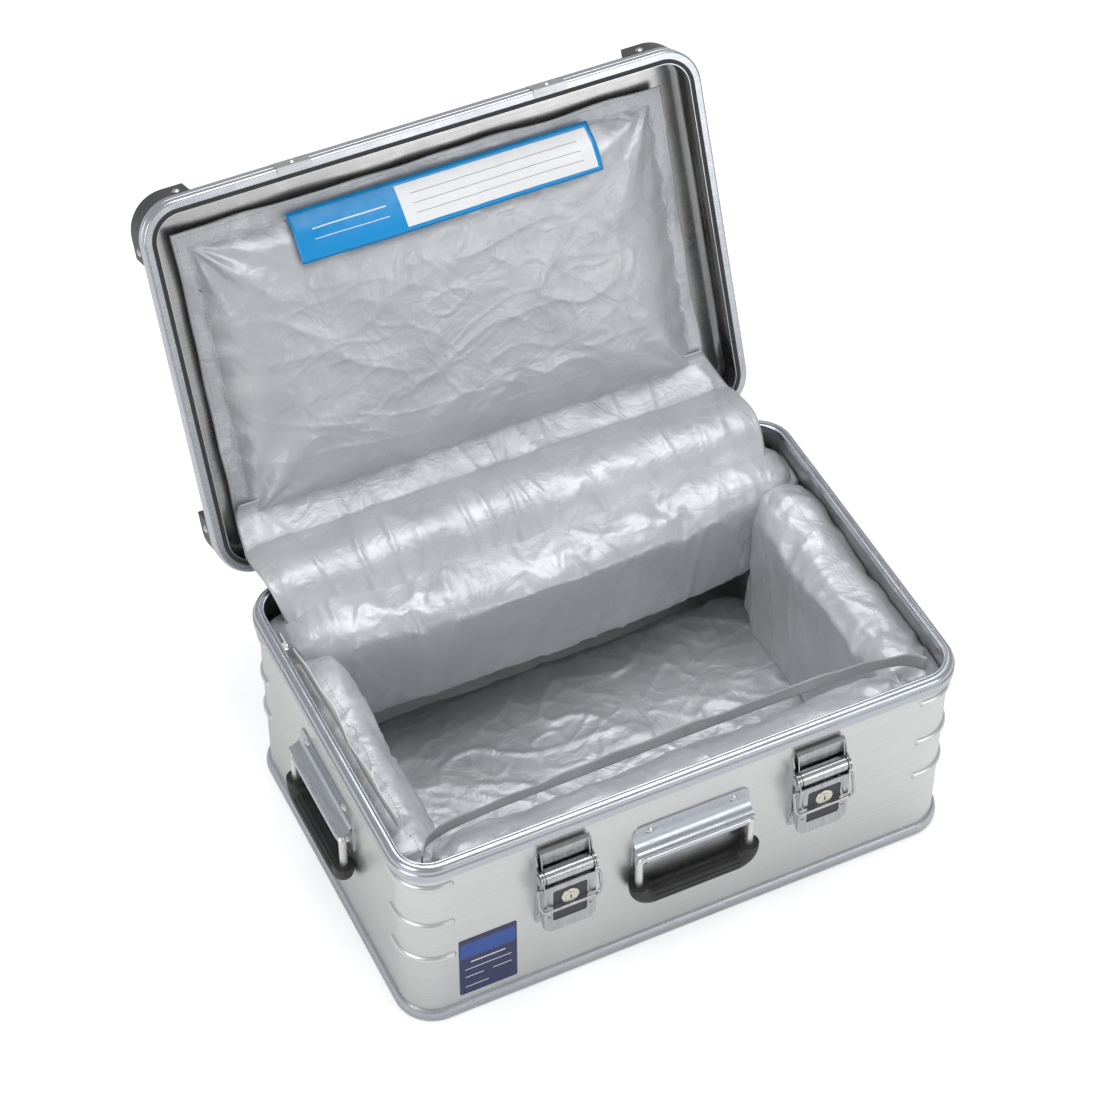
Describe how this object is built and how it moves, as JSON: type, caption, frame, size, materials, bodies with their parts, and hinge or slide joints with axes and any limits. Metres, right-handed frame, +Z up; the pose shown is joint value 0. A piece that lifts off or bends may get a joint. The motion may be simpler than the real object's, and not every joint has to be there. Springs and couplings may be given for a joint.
{
  "type": "battery storage box",
  "caption": "Aluminium transport case with hinged lid, lever latches, drop handles and a padded liner that cushions batteries on every side.",
  "frame": {"origin": "centre of the flat underside of the case", "axes": "+X to the right along the front, +Y to the rear where the hinges are, +Z up; lid open at rest"},
  "size_m": [0.632, 0.6634, 0.5781],
  "materials": {
    "wall_aluminium": "satin rolled sheet, lightly scuffed",
    "lid_aluminium": "satin rolled sheet",
    "frame_aluminium": "natural extruded profile, fine lengthwise lines",
    "seal_rubber": "smooth black rubber",
    "corner_plastic": "black moulded plastic with fine grain",
    "grip_plastic": "black soft moulded plastic",
    "rod_steel": "zinc plated round rod",
    "insert_plastic": "black moulded plastic",
    "lock_nickel": "nickel plated",
    "latch_steel": "polished stainless pressing",
    "hinge_steel": "zinc plated pressing",
    "rivet_steel": "bright dome rivet",
    "liner_fabric": "silver-grey coated cloth, soft sheen, sewn seams",
    "hem_fabric": "grey bound edge",
    "tape_fabric": "white woven tape",
    "zip_metal": "cast slider",
    "front_label_film": "plain navy film",
    "lid_label_fabric": "plain blue field"
  },
  "bodies": {
    "case": {"base_rim": "frame_aluminium", "body_rivets": "rivet_steel", "body_walls": "wall_aluminium", "floor_pad": "liner_fabric", "floor_pan": "wall_aluminium", "front_handle_plate": "frame_aluminium", "front_hem": "hem_fabric", "front_label": "front_label_film", "front_pillow": "liner_fabric", "hinge_leaf_body_left": "hinge_steel", "hinge_leaf_body_right": "hinge_steel", "hinge_pins": "hinge_steel", "latch_base_left": "latch_steel", "latch_base_right": "latch_steel", "latch_pin_left": "latch_steel", "latch_pin_right": "latch_steel", "left_handle_plate": "frame_aluminium", "left_pillow": "liner_fabric", "rear_pillow": "liner_fabric", "right_handle_plate": "frame_aluminium", "right_pillow": "liner_fabric", "top_rim": "frame_aluminium", "zip_slider": "zip_metal", "zip_tape": "tape_fabric"},
    "lid": {"hinge_leaf_lid_left": "hinge_steel", "hinge_leaf_lid_right": "hinge_steel", "lid_catch_left": "hinge_steel", "lid_catch_right": "hinge_steel", "lid_gasket": "seal_rubber", "lid_label": "lid_label_fabric", "lid_pillow": "liner_fabric", "lid_rim": "frame_aluminium", "lid_rivets": "rivet_steel", "lid_shell": "lid_aluminium", "stacking_corner_front_left": "corner_plastic", "stacking_corner_front_right": "corner_plastic", "stacking_corner_rear_left": "corner_plastic", "stacking_corner_rear_right": "corner_plastic"},
    "lever_left": {"latch_lever_left": "latch_steel", "latch_insert_left": "insert_plastic", "lock_barrel_left": "lock_nickel"},
    "bail_left": {"latch_bail_left": "latch_steel"},
    "hook_left": {"latch_hook_left": "latch_steel"},
    "plug_left": {"lock_plug_left": "lock_nickel"},
    "lever_right": {"latch_lever_right": "latch_steel", "latch_insert_right": "insert_plastic", "lock_barrel_right": "lock_nickel"},
    "bail_right": {"latch_bail_right": "latch_steel"},
    "hook_right": {"latch_hook_right": "latch_steel"},
    "plug_right": {"lock_plug_right": "lock_nickel"},
    "front_handle": {"front_handle_rod": "rod_steel", "front_handle_grip": "grip_plastic"},
    "left_handle": {"left_handle_rod": "rod_steel", "left_handle_grip": "grip_plastic"},
    "right_handle": {"right_handle_rod": "rod_steel", "right_handle_grip": "grip_plastic"}
  },
  "joints": [
    {"name": "lid_hinge", "type": "hinge", "parent": "case", "child": "lid", "pos_m": [0, 0.212, 0.21], "axis": [1, 0, 0], "range_deg": [0, 113]},
    {"name": "latch_left", "type": "hinge", "parent": "case", "child": "lever_left", "pos_m": [-0.137, -0.205, 0.1765], "axis": [-1, 0, 0], "range_deg": [0, 95]},
    {"name": "bail_left", "type": "hinge", "parent": "lever_left", "child": "bail_left", "pos_m": [-0.137, -0.2095, 0.163], "axis": [-1, 0, 0], "range_deg": [0, 110]},
    {"name": "hook_left", "type": "hinge", "parent": "case", "child": "hook_left", "pos_m": [-0.137, -0.205, 0.1765], "axis": [1, 0, 0], "range_deg": [0, 40]},
    {"name": "lock_left", "type": "hinge", "parent": "lever_left", "child": "plug_left", "pos_m": [-0.137, -0.21, 0.146], "axis": [0, -1, 0], "range_deg": [0, 90]},
    {"name": "latch_right", "type": "hinge", "parent": "case", "child": "lever_right", "pos_m": [0.137, -0.205, 0.1765], "axis": [-1, 0, 0], "range_deg": [0, 95]},
    {"name": "bail_right", "type": "hinge", "parent": "lever_right", "child": "bail_right", "pos_m": [0.137, -0.2095, 0.163], "axis": [-1, 0, 0], "range_deg": [0, 110]},
    {"name": "hook_right", "type": "hinge", "parent": "case", "child": "hook_right", "pos_m": [0.137, -0.205, 0.1765], "axis": [1, 0, 0], "range_deg": [0, 40]},
    {"name": "lock_right", "type": "hinge", "parent": "lever_right", "child": "plug_right", "pos_m": [0.137, -0.21, 0.146], "axis": [0, -1, 0], "range_deg": [0, 90]},
    {"name": "front_handle_swing", "type": "hinge", "parent": "case", "child": "front_handle", "pos_m": [0, -0.206, 0.147], "axis": [-1, 0, 0], "range_deg": [0, 95]},
    {"name": "left_handle_swing", "type": "hinge", "parent": "case", "child": "left_handle", "pos_m": [-0.306, 0, 0.147], "axis": [0, 1, 0], "range_deg": [0, 95]},
    {"name": "right_handle_swing", "type": "hinge", "parent": "case", "child": "right_handle", "pos_m": [0.306, 0, 0.147], "axis": [0, -1, 0], "range_deg": [0, 95]}
  ]
}
